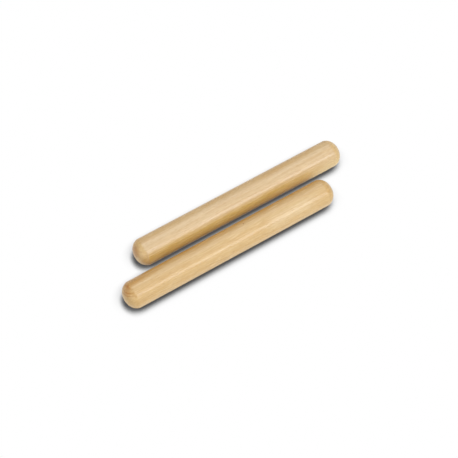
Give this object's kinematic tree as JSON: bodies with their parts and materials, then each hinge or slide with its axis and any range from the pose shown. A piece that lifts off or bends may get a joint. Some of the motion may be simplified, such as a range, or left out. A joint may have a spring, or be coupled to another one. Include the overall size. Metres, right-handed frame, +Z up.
{
  "type": "claves",
  "caption": "Claves: plain round hardwood sticks with domed ends and clear lacquer, lying side by side. One is held over a cupped hand and the other strikes it.",
  "frame": {"origin": "middle of the laid pair's footprint, on the surface that the claves lie on", "axes": "+X along both claves, +Y from the striking clave towards the held one, +Z up"},
  "size_m": [0.2268, 0.0536, 0.0238],
  "materials": {
    "lacquered_maple": "satin"
  },
  "bodies": {
    "held_clave": {"held_clave": "lacquered_maple"},
    "striking_clave": {"striking_clave": "lacquered_maple"}
  },
  "joints": [
    {"name": "strike_stroke", "type": "slide", "parent": "held_clave", "child": "striking_clave", "axis": [0, 1, 0], "range_m": [-0.12, 0.0058]}
  ]
}
